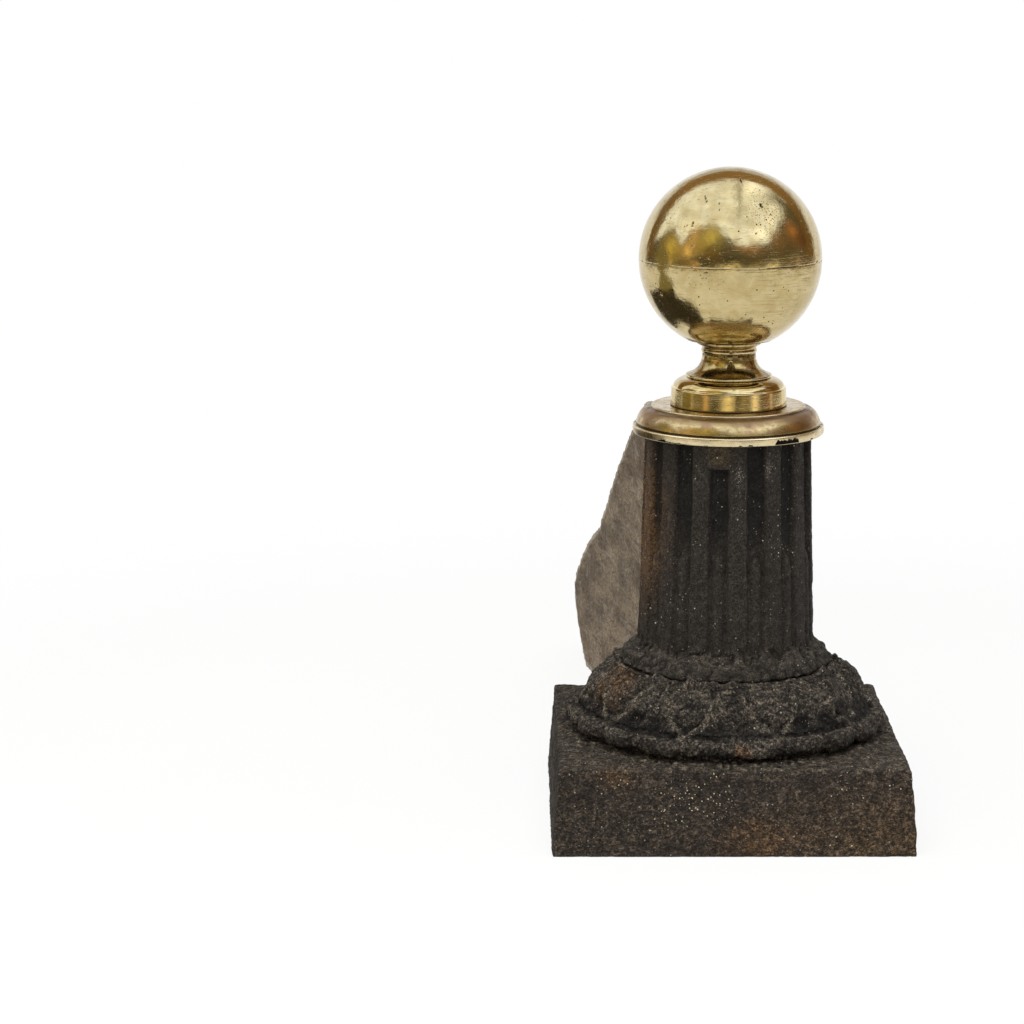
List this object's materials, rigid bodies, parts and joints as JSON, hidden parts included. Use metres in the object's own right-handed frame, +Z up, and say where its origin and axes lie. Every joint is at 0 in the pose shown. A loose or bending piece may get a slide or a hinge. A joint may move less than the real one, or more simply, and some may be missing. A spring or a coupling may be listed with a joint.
{
  "type": "andiron",
  "caption": "Andiron with a fluted cast-iron column on a square plinth, brass mouldings and ball, and a flat iron log-bearing tail that swivels.",
  "frame": {"origin": "on the column's axis at hearth level, under the tie rod", "axes": "+Z up, the decorated front faces -Y, the tail runs back towards +Y and at rest 11 degrees towards -X"},
  "size_m": [0.178, 0.4257, 0.3289],
  "materials": {
    "cast_iron": "sand-cast, blackened by soot, with dust in the hollows and a little rust",
    "tail_iron": "burnt by the fire, dull grey-brown and streaked",
    "forged_iron": "hammered and scaled",
    "bright_iron": "plain turned iron, dulled",
    "moulding_brass": "old polish with brown patina in the grooves, pitted",
    "ball_brass": "polished, with fine scratches, small pits and turning marks"
  },
  "bodies": {
    "stand": {"plinth": "cast_iron", "base_dowels": "bright_iron", "torus_base": "cast_iron", "column_shaft": "cast_iron", "shaft_washer": "bright_iron", "shaft_nut": "bright_iron", "collar_cap": "moulding_brass", "pedestal_drum": "moulding_brass", "neck_spool": "moulding_brass", "tie_rod": "bright_iron", "foot_nut": "bright_iron", "foot_washer": "bright_iron", "swivel_washer": "bright_iron"},
    "tail": {"tail_plate": "tail_iron", "tail_yoke": "forged_iron", "yoke_rivets": "forged_iron"},
    "ball_thread": {"ball_bush": "moulding_brass"},
    "ball": {"ball_lower_half": "ball_brass", "ball_upper_half": "ball_brass"}
  },
  "joints": [
    {"name": "tail_swivel", "type": "hinge", "parent": "stand", "child": "tail", "pos_m": [0, 0, 0.0228], "axis": [0, 0, 1], "range_deg": [-25, 3]},
    {"name": "ball_rise", "type": "slide", "parent": "stand", "child": "ball_thread", "axis": [0, 0, 1], "range_m": [0, 0.014]},
    {"name": "ball_turn", "type": "hinge", "parent": "ball_thread", "child": "ball", "pos_m": [0, 0, 0.2832], "axis": [0, 0, 1], "range_deg": [0, 2520]}
  ],
  "couplings": [
    {"joint": "ball_rise", "follows": "ball_turn", "m_per_rad": 0.00031831}
  ]
}
